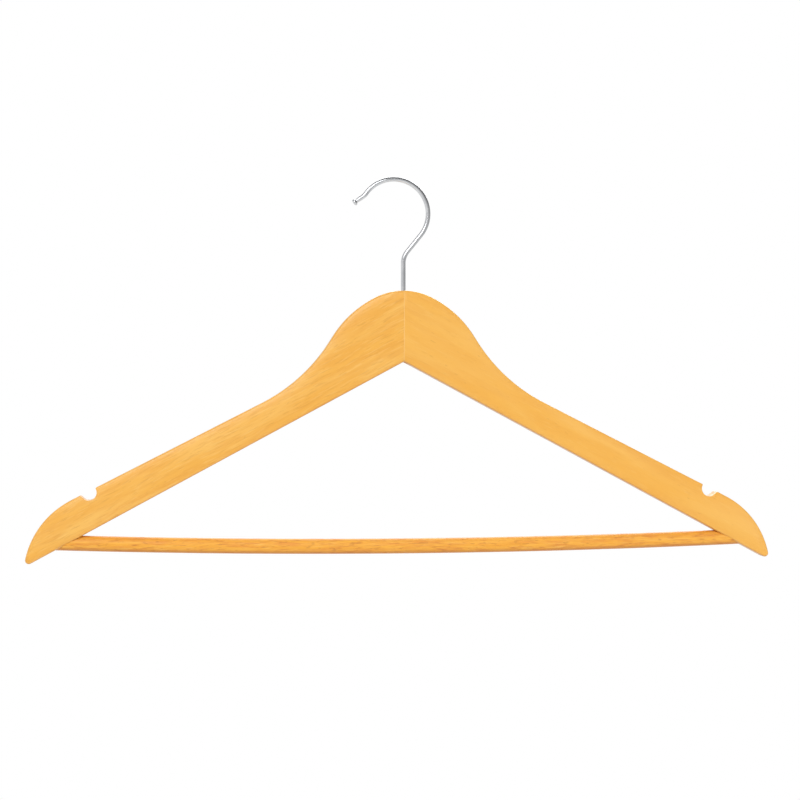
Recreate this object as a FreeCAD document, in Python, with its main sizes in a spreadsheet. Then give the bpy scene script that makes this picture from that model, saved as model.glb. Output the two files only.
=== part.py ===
import FreeCAD, Part
import math
import os

import Sketcher

# A wooden clothes hanger: two shaped board halves joined by a comb joint at the crown,
# a bowed dowel as the trouser bar, and a wire hook that turns in a bore through the joint.
# Each sub-part is drawn from the top of the crown, on the hook's swivel axis, X to the right,
# Y to the back and Z up, and its Placement lowers it so that the model's origin is the point
# of the swivel axis where the hook rests on a rail.

SIZES = {
    # the two wooden halves
    "span": 445.0,              # across both shoulder tips
    "board": 12.0,              # thickness of the wood
    "crown_radius": 37.5,       # round top of the crown
    "crown_half": 17.0,         # where the crown's arc hands over to the neck's arc
    "neck_radius": 64.0,        # side of the crown
    "flank_angle": 57.5,        # steepest slope, between the neck and the sweep
    "sweep_radius": 102.5,      # hollow between the neck and the shoulder
    "edge_drop": 23.8,          # where the shoulder's edge, carried on, would meet the axis
    "edge_angle": 27.0,         # slope of the shoulder's upper edge
    "under_angle": 28.3,        # slope of the underside
    "head_height": 42.4,        # crown to the underside's apex
    "end_radius": 50.0,         # round end of the shoulder
    "tip_radius": 2.2,          # corner at the tip
    "edge_round": 1.2,          # rounding of the face's edges
    # comb joint
    "comb_length": 9.0,         # length of the tongues
    # strap notches
    "notch_radius": 4.6,
    "notch_inset": 36.5,        # tip to the middle of the notch
    "notch_sink": 0.65,         # notch centre below the edge
    "notch_flare": 70.0,        # slope of the notch's outer flank from the edge
    # trouser bar
    "bar_diameter": 9.0,
    "bar_inset": 10.5,          # tip to the end of the bar
    "bar_entry": 24.8,          # tip to where the bar's axis passes through the underside
    "bar_bow": 4.1,             # middle of the bar below its ends
    "glue_gap": 0.1,            # around the bar and past its ends
    # brads that pin the bar from the back
    "brad_inset": 19.5,         # tip to the brad
    "brad_diameter": 1.2,
    "brad_head": 2.0,
    "brad_head_depth": 0.6,
    "brad_length": 8.0,
    "brad_gap": 0.03,
    # wire hook
    "wire": 2.8,
    "hook_radius": 20.5,        # centre line of the round part
    "hook_offset": 5.5,         # round part's centre from the swivel axis
    "hook_rise": 46.2,          # round part's centre above the crown
    "knee_height": 16.5,        # top of the straight stem
    "knee_radius": 11.0,
    "mouth_angle": 163.0,       # direction of the lip's end from the round part's centre
    "lip_flare": 3.4,           # lip's end outside the round part
    "lip_angle": 35.0,          # slope of the lip
    "lip_bend": 7.0,
    "button_diameter": 4.0,
    "button_length": 1.6,
    "button_round": 0.5,
    # swivel seat under the crown
    "bore_gap": 0.05,           # running clearance round the stem
    "seat_depth": 6.5,          # counterbore up from the apex
    "seat_gap": 0.3,            # around the washer
    "washer_diameter": 5.8,
    "washer_thickness": 0.6,
    "rivet_diameter": 4.6,
    "rivet_thickness": 1.3,
}

COMB_LAYERS = 5
COMB_MARGIN = 5                 # how far the comb's cutting outlines run past the wood
ROUND_SHARE = 0.9               # most of a comb layer's thickness that the rounding may take
TINY = 1e-3

doc = FreeCAD.newDocument("clothes_hanger")
sheet = doc.addObject("Spreadsheet::Sheet", "sizes")
for row, (alias, value) in enumerate(SIZES.items(), start=1):
    sheet.set("A%d" % row, alias)
    sheet.set("B%d" % row, "%g" % value)
    sheet.setAlias("B%d" % row, alias)
doc.recompute()

EDGE_ROUND = "min(sizes.edge_round; %g * sizes.board / %d)" % (ROUND_SHARE, COMB_LAYERS)
BORE_RADIUS = "(sizes.wire / 2 + sizes.bore_gap)"
SEAT_LEVEL = "(sizes.seat_depth - sizes.head_height)"
STEM_END = "(sizes.seat_depth - sizes.head_height - sizes.washer_thickness)"
HALF_BAR = "(sizes.span / 2 - sizes.bar_inset)"
BAR_ARC = "((%s^2 + sizes.bar_bow^2) / (2 * sizes.bar_bow))" % HALF_BAR
ENTRY_REACH = "(sizes.span / 2 - sizes.bar_entry)"
ENTRY_LEVEL = "(-sizes.head_height - %s * tan(sizes.under_angle * 1 deg))" % ENTRY_REACH
BAR_AXIS = "(%s + sqrt(%s^2 - %s^2))" % (ENTRY_LEVEL, BAR_ARC, ENTRY_REACH)
BRAD_REACH = "(sizes.span / 2 - sizes.brad_inset)"
HEAD_DEPTH = "min(sizes.brad_head_depth; (sizes.board - sizes.bar_diameter) / 3)"
BRAD_LEVEL = "(%s - sqrt(%s^2 - %s^2))" % (BAR_AXIS, BAR_ARC, BRAD_REACH)
NOTCH_REACH = "(sizes.span / 2 - sizes.notch_inset)"
NOTCH_LEVEL = "(-sizes.edge_drop - %s * tan(sizes.edge_angle * 1 deg))" % NOTCH_REACH
RAIL_DROP = ("(sizes.hook_rise + sqrt((sizes.hook_radius - sizes.wire / 2)^2"
             " - sizes.hook_offset^2))")
LIP_REACH = "(sizes.hook_radius + sizes.lip_flare)"


def value_of(expression):
    """The number that an expression of the sheet gives, in millimetres or degrees."""
    result = sheet.evalExpression(expression)
    return getattr(result, "Value", result)


def size(alias):
    """The number in one named cell."""
    return sheet.get(alias)


def vec(x, y, z=0):
    """A point or direction."""
    return FreeCAD.Vector(x, y, z)


def new_body(label, turned=False):
    """An empty body under the crown; turned faces it the other way about the swivel axis."""
    body = doc.addObject("PartDesign::Body", label)
    body.Label = label
    if turned:
        body.Placement = FreeCAD.Placement(vec(0, 0), FreeCAD.Rotation(vec(0, 0, 1), 180))
    body.setExpression(".Placement.Base.z", "-" + RAIL_DROP)
    return body


def new_sketch(body, name, plane, x=None, y=None, z=None, angle=None):
    """A sketch on one of the body's planes, moved and turned within it by expressions."""
    sketch = body.newObject("Sketcher::SketchObject", body.Label + "_" + name)
    planes = [item for item in body.Origin.OriginFeatures if item.Role == plane]
    sketch.AttachmentSupport = [(planes[0], "")]
    sketch.MapMode = "FlatFace"
    if angle:
        sketch.AttachmentOffset = FreeCAD.Placement(vec(0, 0), FreeCAD.Rotation(vec(0, 0, 1), 1))
        sketch.setExpression(".AttachmentOffset.Rotation.Angle", angle)
    for axis, expression in (("x", x), ("y", y), ("z", z)):
        if expression:
            sketch.setExpression(".AttachmentOffset.Base." + axis, expression)
    return sketch


def line(sketch, start, end, construction=False):
    """A straight edge; returns its index."""
    return sketch.addGeometry(Part.LineSegment(vec(*start), vec(*end)), construction)


def arc(sketch, centre, radius, start, end):
    """An arc that runs counter-clockwise between two directions, in degrees."""
    ring = Part.Circle(vec(*centre), vec(0, 0, 1), radius)
    curve = Part.ArcOfCircle(ring, math.radians(start), math.radians(end))
    return sketch.addGeometry(curve, False)


def rule(sketch, kind, *where):
    """A constraint that holds no size."""
    sketch.addConstraint(Sketcher.Constraint(kind, *where))


def bind(sketch, name, expression, kind, *where):
    """A constraint whose size follows an expression of the sheet."""
    guess = value_of(expression)
    if kind == "Angle":
        guess = math.radians(guess)
    index = sketch.addConstraint(Sketcher.Constraint(kind, *where, guess))
    sketch.renameConstraint(index, name)
    sketch.setExpression("Constraints." + name, expression)


def circle(sketch, name, radius):
    """A full circle round the sketch's origin."""
    ring = sketch.addGeometry(Part.Circle(vec(0, 0), vec(0, 0, 1), value_of(radius)), False)
    rule(sketch, "Coincident", ring, 3, -1, 1)
    bind(sketch, name, radius, "Radius", ring)


def rectangle(sketch, name, left, right, low, high):
    """A box whose four sides are expressions counted from the sketch's origin."""
    x1, x2, y1, y2 = [value_of(side) for side in (left, right, low, high)]
    corners = [(x1, y1), (x2, y1), (x2, y2), (x1, y2)]
    sides = [line(sketch, corners[n], corners[(n + 1) % 4]) for n in range(4)]
    for n in range(4):
        rule(sketch, "Coincident", sides[n], 2, sides[(n + 1) % 4], 1)
        rule(sketch, ("Horizontal", "Vertical")[n % 2], sides[n])
    bind(sketch, name + "_left", left, "DistanceX", -1, 1, sides[0], 1)
    bind(sketch, name + "_right", right, "DistanceX", -1, 1, sides[0], 2)
    bind(sketch, name + "_low", low, "DistanceY", -1, 1, sides[0], 1)
    bind(sketch, name + "_high", high, "DistanceY", -1, 1, sides[2], 1)


def pad(body, sketch, length, symmetric=False):
    """Thickens a sketch."""
    feature = body.newObject("PartDesign::Pad", sketch.Label + "_pad")
    feature.Profile = sketch
    if symmetric:
        feature.SideType = "Symmetric"
    feature.setExpression("Length", length)
    doc.recompute()


def cut(body, sketch, both_ways=False, reverse=False):
    """Cuts a sketch through everything and makes sure that it removes some of the body."""
    before = body.Shape.Volume
    feature = body.newObject("PartDesign::Pocket", sketch.Label + "_cut")
    feature.Profile = sketch
    feature.Type = "ThroughAll"
    feature.Reversed = reverse
    if both_ways:
        feature.SideType = "Symmetric"
    doc.recompute()
    if body.Shape.Volume > before - TINY:
        raise RuntimeError(sketch.Label + " cuts nothing")


def turn(body, sketch, kind, axis, angle="360", symmetric=False, reverse=False):
    """Turns a sketch about one of its own axes, as a Revolution or a Groove."""
    before = body.Shape.Volume if kind == "Groove" else 0
    feature = body.newObject("PartDesign::" + kind, sketch.Label + "_turn")
    feature.Profile = sketch
    feature.ReferenceAxis = (sketch, [axis])
    feature.Reversed = reverse
    feature.Midplane = symmetric
    feature.setExpression("Angle", angle)
    doc.recompute()
    if kind == "Groove" and body.Shape.Volume > before - TINY:
        raise RuntimeError(sketch.Label + " cuts nothing")


def soften(body, name, edges, radius):
    """Rounds the edges of the body that the test picks."""
    solid = body.Tip
    chosen = ["Edge%d" % (n + 1) for n, edge in enumerate(body.Shape.Edges) if edges(edge)]
    feature = body.newObject("PartDesign::Fillet", body.Label + "_" + name)
    feature.Base = (solid, chosen)
    feature.setExpression("Radius", radius)
    doc.recompute()


def outline(body):
    """The front outline of one half, from the crown to the tip and back along the underside."""
    sketch = new_sketch(body, "outline", "XZ_Plane")
    crown, half, neck = size("crown_radius"), size("crown_half"), size("neck_radius")
    flank, edge, under = [math.radians(size(name + "_angle")) for name in ("flank", "edge", "under")]
    comb, head = size("comb_length"), size("head_height")

    # first positions of the arcs' centres, each from its neighbour's tangent
    handover = math.asin(half / crown)
    neck_centre = vec((crown - neck) * math.sin(handover), (crown - neck) * math.cos(handover) - crown)
    neck_end = neck_centre + vec(math.sin(flank), math.cos(flank)) * neck
    sweep = size("sweep_radius")
    along = vec(math.cos(flank), -math.sin(flank))
    sideways = vec(math.sin(edge), math.cos(edge))
    rise = (neck_end + vec(math.sin(flank), math.cos(flank)) * sweep) - vec(0, -size("edge_drop"))
    flank_length = (sweep - rise.dot(sideways)) / along.dot(sideways)
    flank_end = neck_end + along * flank_length
    sweep_centre = flank_end + vec(math.sin(flank), math.cos(flank)) * sweep
    sweep_end = sweep_centre - sideways * sweep
    tip, end = size("tip_radius"), size("end_radius")
    tip_x = size("span") / 2 - tip
    tip_centre = vec(tip_x, tip / math.cos(under) - head - tip_x * math.tan(under))
    # the end arc's centre lies end_radius under the edge and end_radius - tip_radius from the tip's
    foot = vec(0, -size("edge_drop")) - sideways * end
    edge_way = vec(math.cos(edge), -math.sin(edge))
    reach = (tip_centre - foot).dot(edge_way)
    aside = (tip_centre - foot).dot(sideways)
    end_centre = foot + edge_way * (reach - math.sqrt((end - tip) ** 2 - aside ** 2))
    end_start = end_centre + sideways * end
    tip_way = math.degrees(math.atan2(tip_centre.y - end_centre.y, tip_centre.x - end_centre.x))
    under_way = -90 - size("under_angle")
    tip_start = tip_centre + vec(math.cos(math.radians(tip_way)), math.sin(math.radians(tip_way))) * tip
    tip_end = tip_centre + vec(-math.sin(under), -math.cos(under)) * tip
    stub = (-comb, -head - comb * math.tan(under))
    comb_top = math.degrees(math.acos(-comb / crown))

    crown_arc = arc(sketch, (0, -crown), crown, 90 - math.degrees(handover), comb_top)
    neck_arc = arc(sketch, tuple(neck_centre)[:2], neck, 90 - size("flank_angle"),
                   90 - math.degrees(handover))
    flank_line = line(sketch, tuple(neck_end)[:2], tuple(flank_end)[:2])
    sweep_arc = arc(sketch, tuple(sweep_centre)[:2], sweep, 270 - size("flank_angle"),
                    270 - size("edge_angle"))
    edge_line = line(sketch, tuple(sweep_end)[:2], tuple(end_start)[:2])
    end_arc = arc(sketch, tuple(end_centre)[:2], end, tip_way, 90 - size("edge_angle"))
    tip_arc = arc(sketch, tuple(tip_centre)[:2], tip, under_way, tip_way)
    under_line = line(sketch, tuple(tip_end)[:2], (0, -head))
    stub_line = line(sketch, (0, -head), stub)
    comb_line = line(sketch, stub, (-comb, -crown + math.sqrt(crown ** 2 - comb ** 2)))
    axis_line = line(sketch, (0, -size("edge_drop")), (0, -head), True)

    rule(sketch, "Tangent", crown_arc, 1, neck_arc, 2)
    rule(sketch, "Tangent", neck_arc, 1, flank_line, 1)
    rule(sketch, "Tangent", flank_line, 2, sweep_arc, 1)
    rule(sketch, "Tangent", sweep_arc, 2, edge_line, 1)
    rule(sketch, "Tangent", edge_line, 2, end_arc, 2)
    rule(sketch, "Tangent", end_arc, 1, tip_arc, 2)
    rule(sketch, "Tangent", tip_arc, 1, under_line, 1)
    rule(sketch, "Coincident", under_line, 2, stub_line, 1)
    rule(sketch, "Coincident", stub_line, 2, comb_line, 1)
    rule(sketch, "Coincident", comb_line, 2, crown_arc, 2)
    rule(sketch, "PointOnObject", crown_arc, 3, -2)
    rule(sketch, "PointOnObject", under_line, 2, -2)
    rule(sketch, "PointOnObject", axis_line, 1, -2)
    rule(sketch, "Coincident", axis_line, 2, under_line, 2)
    rule(sketch, "Vertical", comb_line)
    rule(sketch, "PointOnObject", axis_line, 1, edge_line)
    bind(sketch, "crown_drop", "sizes.crown_radius", "DistanceY", crown_arc, 3, -1, 1)
    bind(sketch, "crown", "sizes.crown_radius", "Radius", crown_arc)
    bind(sketch, "crown_half", "sizes.crown_half", "DistanceX", -1, 1, crown_arc, 1)
    bind(sketch, "neck", "sizes.neck_radius", "Radius", neck_arc)
    bind(sketch, "sweep", "sizes.sweep_radius", "Radius", sweep_arc)
    bind(sketch, "flank", "-sizes.flank_angle * 1 deg", "Angle", flank_line)
    bind(sketch, "edge", "-sizes.edge_angle * 1 deg", "Angle", edge_line)
    bind(sketch, "edge_drop", "sizes.edge_drop", "DistanceY", axis_line, 1, -1, 1)
    bind(sketch, "head", "sizes.head_height", "DistanceY", under_line, 2, -1, 1)
    bind(sketch, "under", "180 deg - sizes.under_angle * 1 deg", "Angle", under_line)
    bind(sketch, "stub", "-180 deg + sizes.under_angle * 1 deg", "Angle", stub_line)
    bind(sketch, "comb", "-sizes.comb_length", "DistanceX", -1, 1, comb_line, 1)
    bind(sketch, "end", "sizes.end_radius", "Radius", end_arc)
    bind(sketch, "tip", "sizes.tip_radius", "Radius", tip_arc)
    bind(sketch, "half_span", "sizes.span / 2 - sizes.tip_radius", "DistanceX", -1, 1, tip_arc, 3)
    return sketch


def comb_cut(body, name, layers, stop):
    """Clears some layers of the thickness from beyond the joint up to a stop."""
    sketch = new_sketch(body, name, "XY_Plane")
    beyond = "-sizes.comb_length - %d" % COMB_MARGIN
    for layer in layers:
        low = "sizes.board * %d / %d" % (2 * layer - COMB_LAYERS, 2 * COMB_LAYERS)
        high = "sizes.board * %d / %d" % (2 * layer + 2 - COMB_LAYERS, 2 * COMB_LAYERS)
        if layer == 0:
            low += " - %d" % COMB_MARGIN
        if layer == COMB_LAYERS - 1:
            high += " + %d" % COMB_MARGIN
        rectangle(sketch, "layer%d" % layer, beyond, stop, low, high)
    cut(body, sketch, both_ways=True)


def strap_notch(body):
    """The notch for straps in the shoulder's upper edge: a round bottom and a straight outer flank."""
    sketch = new_sketch(body, "notch", "XZ_Plane", x=NOTCH_REACH, y=NOTCH_LEVEL,
                        angle="-sizes.edge_angle * 1 deg")
    radius, sink = size("notch_radius"), size("notch_sink")
    flare = math.radians(size("notch_flare"))
    inner = math.asin(sink / radius)
    top = 2 * radius
    left = -radius * math.cos(inner)
    foot = (radius * math.sin(flare), -sink - radius * math.cos(flare))
    right = foot[0] + (top - foot[1]) / math.tan(flare)
    bottom = arc(sketch, (0, -sink), radius, 180 - math.degrees(inner), 270 + size("notch_flare"))
    flank = line(sketch, foot, (right, top))
    lid = line(sketch, (right, top), (left, top))
    inner_side = line(sketch, (left, top), (left, 0))
    rule(sketch, "Tangent", bottom, 2, flank, 1)
    rule(sketch, "Coincident", flank, 2, lid, 1)
    rule(sketch, "Coincident", lid, 2, inner_side, 1)
    rule(sketch, "Coincident", inner_side, 2, bottom, 1)
    rule(sketch, "Horizontal", lid)
    rule(sketch, "Vertical", inner_side)
    rule(sketch, "PointOnObject", bottom, 1, -1)
    rule(sketch, "PointOnObject", bottom, 3, -2)
    bind(sketch, "sink", "sizes.notch_sink", "DistanceY", bottom, 3, -1, 1)
    bind(sketch, "radius", "sizes.notch_radius", "Radius", bottom)
    bind(sketch, "flare", "sizes.notch_flare * 1 deg", "Angle", flank)
    bind(sketch, "lid", "2 * sizes.notch_radius", "DistanceY", -1, 1, lid, 1)
    cut(body, sketch, both_ways=True)


def arm(label, tongues, turned):
    """One wooden half, drawn as the right-hand one and turned round for the left."""
    body = new_body(label, turned)
    pad(body, outline(body), "sizes.board", symmetric=True)
    comb_cut(body, "butt", range(0, COMB_LAYERS, 2), "0 * sizes.comb_length")
    if not tongues:
        comb_cut(body, "slots", range(1, COMB_LAYERS, 2), "sizes.comb_length")
    half_board = size("board") / 2

    def face_edge(edge):
        """Whether an edge bounds the front or back face, away from the joint."""
        box = edge.BoundBox
        on_face = abs(abs(box.Center.y) - half_board) < TINY and box.YLength < TINY
        on_joint = abs(box.Center.x) < TINY and box.XLength < TINY
        return on_face and not on_joint

    soften(body, "rounding", face_edge, EDGE_ROUND)
    strap_notch(body)

    bore = new_sketch(body, "bore", "XY_Plane")
    circle(bore, "bore", BORE_RADIUS)
    cut(body, bore, both_ways=True)
    seat = new_sketch(body, "seat", "XY_Plane", z=SEAT_LEVEL)
    circle(seat, "seat", "sizes.washer_diameter / 2 + sizes.seat_gap")
    cut(body, seat)

    socket = new_sketch(body, "socket", "YZ_Plane", y=BAR_AXIS)
    bar_circle(socket, "sizes.bar_diameter / 2 + sizes.glue_gap")
    reach = "asin((%s + sizes.glue_gap) / %s)" % (HALF_BAR, BAR_ARC)
    turn(body, socket, "Groove", "H_Axis", reach, reverse=True)

    # the brad comes from the back of the hanger, which is the drawn half's front when it is turned
    for name, diameter, level in (("shank", "brad_diameter", "0 * sizes.board"),
                                  ("head", "brad_head", "(sizes.board / 2 - %s)" % HEAD_DEPTH)):
        side = "" if turned else "-"
        hole = new_sketch(body, "brad_" + name, "XZ_Plane", x=BRAD_REACH, y=BRAD_LEVEL,
                          z=side + level)
        circle(hole, name, "sizes.%s / 2 + sizes.brad_gap" % diameter)
        cut(body, hole, reverse=turned)
    return body


def bar_circle(sketch, radius):
    """The bar's section, hung below the axis that its bow turns about."""
    guess = Part.Circle(vec(0, -value_of(BAR_ARC)), vec(0, 0, 1), value_of(radius))
    ring = sketch.addGeometry(guess, False)
    rule(sketch, "PointOnObject", ring, 3, -2)
    bind(sketch, "arm", BAR_ARC, "DistanceY", ring, 3, -1, 1)
    bind(sketch, "radius", radius, "Radius", ring)


def trouser_bar():
    """The dowel, bowed downwards, with a blind hole for each brad."""
    body = new_body("trouser_bar")
    section = new_sketch(body, "section", "YZ_Plane", y=BAR_AXIS)
    bar_circle(section, "sizes.bar_diameter / 2")
    turn(body, section, "Revolution", "H_Axis", "2 * asin(%s / %s)" % (HALF_BAR, BAR_ARC),
         symmetric=True)
    for side in ("", "-"):
        hole = new_sketch(body, "brad_hole" + ("_left" if side else "_right"), "XZ_Plane",
                          x=side + BRAD_REACH, y=BRAD_LEVEL,
                          z="sizes.brad_length - sizes.board / 2")
        circle(hole, "hole", "sizes.brad_diameter / 2 + sizes.brad_gap")
        cut(body, hole)
    return body


def bar_brad(label, side):
    """A brad with a flat head, driven in flush from the back."""
    body = new_body(label)
    profile = new_sketch(body, "profile", "XY_Plane", x=side + BRAD_REACH,
                         y="sizes.board / 2", z=BRAD_LEVEL)
    head, neck = size("brad_head") / 2, value_of(HEAD_DEPTH)
    shank, length = size("brad_diameter") / 2, size("brad_length")
    corners = [(0, 0), (head, 0), (head, -neck), (shank, -neck), (shank, 2 * shank - length), (0, -length)]
    sides = [line(profile, corners[n], corners[(n + 1) % 6]) for n in range(6)]
    for n in range(6):
        rule(profile, "Coincident", sides[n], 2, sides[(n + 1) % 6], 1)
    rule(profile, "Coincident", sides[0], 1, -1, 1)
    rule(profile, "Horizontal", sides[0])
    rule(profile, "Vertical", sides[1])
    rule(profile, "Horizontal", sides[2])
    rule(profile, "Vertical", sides[3])
    rule(profile, "Vertical", sides[5])
    bind(profile, "head", "sizes.brad_head / 2", "DistanceX", -1, 1, sides[0], 2)
    bind(profile, "depth", HEAD_DEPTH, "DistanceY", sides[1], 2, -1, 1)
    bind(profile, "shank", "sizes.brad_diameter / 2", "DistanceX", -1, 1, sides[3], 1)
    bind(profile, "point", "sizes.brad_length - sizes.brad_diameter", "DistanceY", sides[3], 2, -1, 1)
    bind(profile, "length", "sizes.brad_length", "DistanceY", sides[5], 1, -1, 1)
    turn(body, profile, "Revolution", "V_Axis")
    return body


def hook_washer():
    """The steel washer in the counterbore, which the hook's riveted end turns against."""
    body = new_body("hook_washer")
    ring = new_sketch(body, "ring", "XY_Plane", z=STEM_END)
    circle(ring, "outside", "sizes.washer_diameter / 2")
    circle(ring, "bore", BORE_RADIUS)
    pad(body, ring, "sizes.washer_thickness")
    return body


def wire_path(body):
    """The hook's centre line: stem, knee, slanting shank, round part, reverse bend and lip."""
    sketch = new_sketch(body, "path", "XZ_Plane")
    knee, radius, bend = size("knee_radius"), size("hook_radius"), size("lip_bend")
    low = value_of(STEM_END)
    top = size("knee_height")
    centre = vec(-size("hook_offset"), size("hook_rise"))
    # the shank is the inner tangent of the knee, which curves to the right, and the round part
    knee_centre = vec(knee, top)
    between = centre - knee_centre
    heading = math.degrees(math.atan2(between.y, between.x))
    lean = heading - math.degrees(math.asin((knee + radius) / between.Length))
    away = vec(-math.sin(math.radians(lean)), math.cos(math.radians(lean)))
    shank_low = knee_centre + away * knee
    shank_high = centre - away * radius
    # the reverse bend touches the round part from outside and the lip's line from above
    lip = math.radians(size("lip_angle"))
    mouth = math.radians(size("mouth_angle"))
    lip_end = centre + vec(math.cos(mouth), math.sin(mouth)) * value_of(LIP_REACH)
    lip_way = vec(-math.cos(lip), -math.sin(lip))
    lip_up = vec(-math.sin(lip), math.cos(lip))
    level = (lip_end + lip_up * bend - centre)
    back = level.dot(lip_way) - math.sqrt((radius + bend) ** 2 - level.dot(lip_up) ** 2)
    bend_centre = lip_end + lip_up * bend - lip_way * back
    touch = math.degrees(math.atan2(bend_centre.y - centre.y, bend_centre.x - centre.x))
    lip_start = bend_centre - lip_up * bend

    stem = line(sketch, (0, low), (0, top))
    knee_arc = arc(sketch, tuple(knee_centre)[:2], knee, lean + 90, 180)
    shank = line(sketch, tuple(shank_low)[:2], tuple(shank_high)[:2])
    round_arc = arc(sketch, tuple(centre)[:2], radius, lean - 90, touch)
    bend_arc = arc(sketch, tuple(bend_centre)[:2], bend, size("lip_angle") - 90, touch - 180)
    lip_line = line(sketch, tuple(lip_start)[:2], tuple(lip_end)[:2])
    mouth_line = line(sketch, tuple(centre)[:2], tuple(lip_end)[:2], True)

    rule(sketch, "PointOnObject", stem, 1, -2)
    rule(sketch, "Vertical", stem)
    rule(sketch, "Tangent", stem, 2, knee_arc, 2)
    rule(sketch, "Tangent", knee_arc, 1, shank, 1)
    rule(sketch, "Tangent", shank, 2, round_arc, 1)
    rule(sketch, "Tangent", round_arc, 2, bend_arc, 2)
    rule(sketch, "Tangent", bend_arc, 1, lip_line, 1)
    rule(sketch, "Coincident", mouth_line, 1, round_arc, 3)
    rule(sketch, "Coincident", mouth_line, 2, lip_line, 2)
    bind(sketch, "stem_end", STEM_END, "DistanceY", -1, 1, stem, 1)
    bind(sketch, "stem_top", "sizes.knee_height", "DistanceY", -1, 1, stem, 2)
    bind(sketch, "knee", "sizes.knee_radius", "Radius", knee_arc)
    bind(sketch, "offset", "sizes.hook_offset", "DistanceX", round_arc, 3, -1, 1)
    bind(sketch, "rise", "sizes.hook_rise", "DistanceY", -1, 1, round_arc, 3)
    bind(sketch, "round", "sizes.hook_radius", "Radius", round_arc)
    bind(sketch, "bend", "sizes.lip_bend", "Radius", bend_arc)
    bind(sketch, "lip", "sizes.lip_angle * 1 deg - 180 deg", "Angle", lip_line)
    bind(sketch, "mouth", "sizes.mouth_angle * 1 deg", "Angle", mouth_line)
    bind(sketch, "reach", LIP_REACH, "Distance", mouth_line)
    return sketch


def knob(body, name, diameter, length, ease, **place):
    """A round button on the end of the wire, its far rim rounded, along the sketch's upright axis."""
    sketch = new_sketch(body, name, "XZ_Plane", **place)
    radius, depth, rim = [value_of(item) for item in (diameter + " / 2", length, ease)]
    sides = [line(sketch, (0, 0), (radius, 0)),
             line(sketch, (radius, 0), (radius, rim - depth)),
             arc(sketch, (radius - rim, rim - depth), rim, 270, 360),
             line(sketch, (radius - rim, -depth), (0, -depth)),
             line(sketch, (0, -depth), (0, 0))]
    rule(sketch, "Coincident", sides[0], 1, -1, 1)
    rule(sketch, "Coincident", sides[0], 2, sides[1], 1)
    rule(sketch, "Tangent", sides[1], 2, sides[2], 2)
    rule(sketch, "Tangent", sides[2], 1, sides[3], 1)
    rule(sketch, "Coincident", sides[3], 2, sides[4], 1)
    rule(sketch, "Coincident", sides[4], 2, sides[0], 1)
    rule(sketch, "Horizontal", sides[0])
    rule(sketch, "Vertical", sides[1])
    rule(sketch, "Horizontal", sides[3])
    rule(sketch, "Vertical", sides[4])
    bind(sketch, "radius", diameter + " / 2", "DistanceX", -1, 1, sides[0], 2)
    bind(sketch, "length", length, "DistanceY", sides[3], 2, -1, 1)
    bind(sketch, "rim", ease, "Radius", sides[2])
    turn(body, sketch, "Revolution", "V_Axis")


def hook():
    """The wire hook, with a button pressed on its lip and a rivet head under the washer."""
    body = new_body("hook")
    path = wire_path(body)
    section = new_sketch(body, "section", "XY_Plane", z=STEM_END)
    circle(section, "wire", "sizes.wire / 2")
    sweep = body.newObject("PartDesign::AdditivePipe", "hook_wire")
    sweep.Profile = section
    sweep.Spine = path
    doc.recompute()
    knob(body, "rivet", "sizes.rivet_diameter", "sizes.rivet_thickness", "sizes.button_round", y=STEM_END)
    knob(body, "button", "sizes.button_diameter", "sizes.button_length", "sizes.button_round",
         x="-sizes.hook_offset + %s * cos(sizes.mouth_angle * 1 deg)" % LIP_REACH,
         y="sizes.hook_rise + %s * sin(sizes.mouth_angle * 1 deg)" % LIP_REACH,
         angle="-(90 - sizes.lip_angle) * 1 deg")
    return body


parts = [
    arm("right_arm", tongues=False, turned=False),
    arm("left_arm", tongues=True, turned=True),
    trouser_bar(),
    bar_brad("bar_brad_right", ""),
    bar_brad("bar_brad_left", "-"),
    hook_washer(),
    hook(),
]
doc.recompute()

for item in doc.Objects:
    if "Invalid" in item.State or "Error" in item.State:
        raise RuntimeError("%s did not compute" % item.Label)
    if item.isDerivedFrom("Sketcher::SketchObject") and item.solve() != 0:
        raise RuntimeError("%s is not solved" % item.Label)
for body in parts:
    if body.Shape.isNull() or not body.Shape.isValid() or len(body.Shape.Solids) != 1:
        raise RuntimeError("%s has no single valid solid" % body.Label)

os.makedirs("parts", exist_ok=True)
for body in parts:
    body.Shape.exportStep("parts/%s.step" % body.Label)
    box = body.Shape.BoundBox
    print("%-16s volume %9.1f  X %8.2f %8.2f  Y %6.2f %6.2f  Z %8.2f %8.2f" % (
        body.Label, body.Shape.Volume, box.XMin, box.XMax, box.YMin, box.YMax, box.ZMin, box.ZMax))
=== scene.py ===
import math

import bmesh
import bpy
import numpy
from mathutils import Matrix, Vector
from mathutils.geometry import delaunay_2d_cdt


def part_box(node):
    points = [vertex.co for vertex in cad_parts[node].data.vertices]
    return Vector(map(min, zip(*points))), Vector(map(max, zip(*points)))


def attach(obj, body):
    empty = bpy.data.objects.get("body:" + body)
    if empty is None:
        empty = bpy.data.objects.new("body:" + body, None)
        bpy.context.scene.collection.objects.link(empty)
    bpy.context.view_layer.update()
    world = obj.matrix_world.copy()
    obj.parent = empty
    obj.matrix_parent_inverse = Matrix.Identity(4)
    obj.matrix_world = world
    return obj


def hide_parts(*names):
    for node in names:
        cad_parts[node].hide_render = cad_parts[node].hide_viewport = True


# A wooden clothes hanger with a trouser bar and a swivelling wire hook.
# X runs along the shoulders, Y to the back and Z up; the hook's swivel axis is X = 0, Y = 0.

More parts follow.
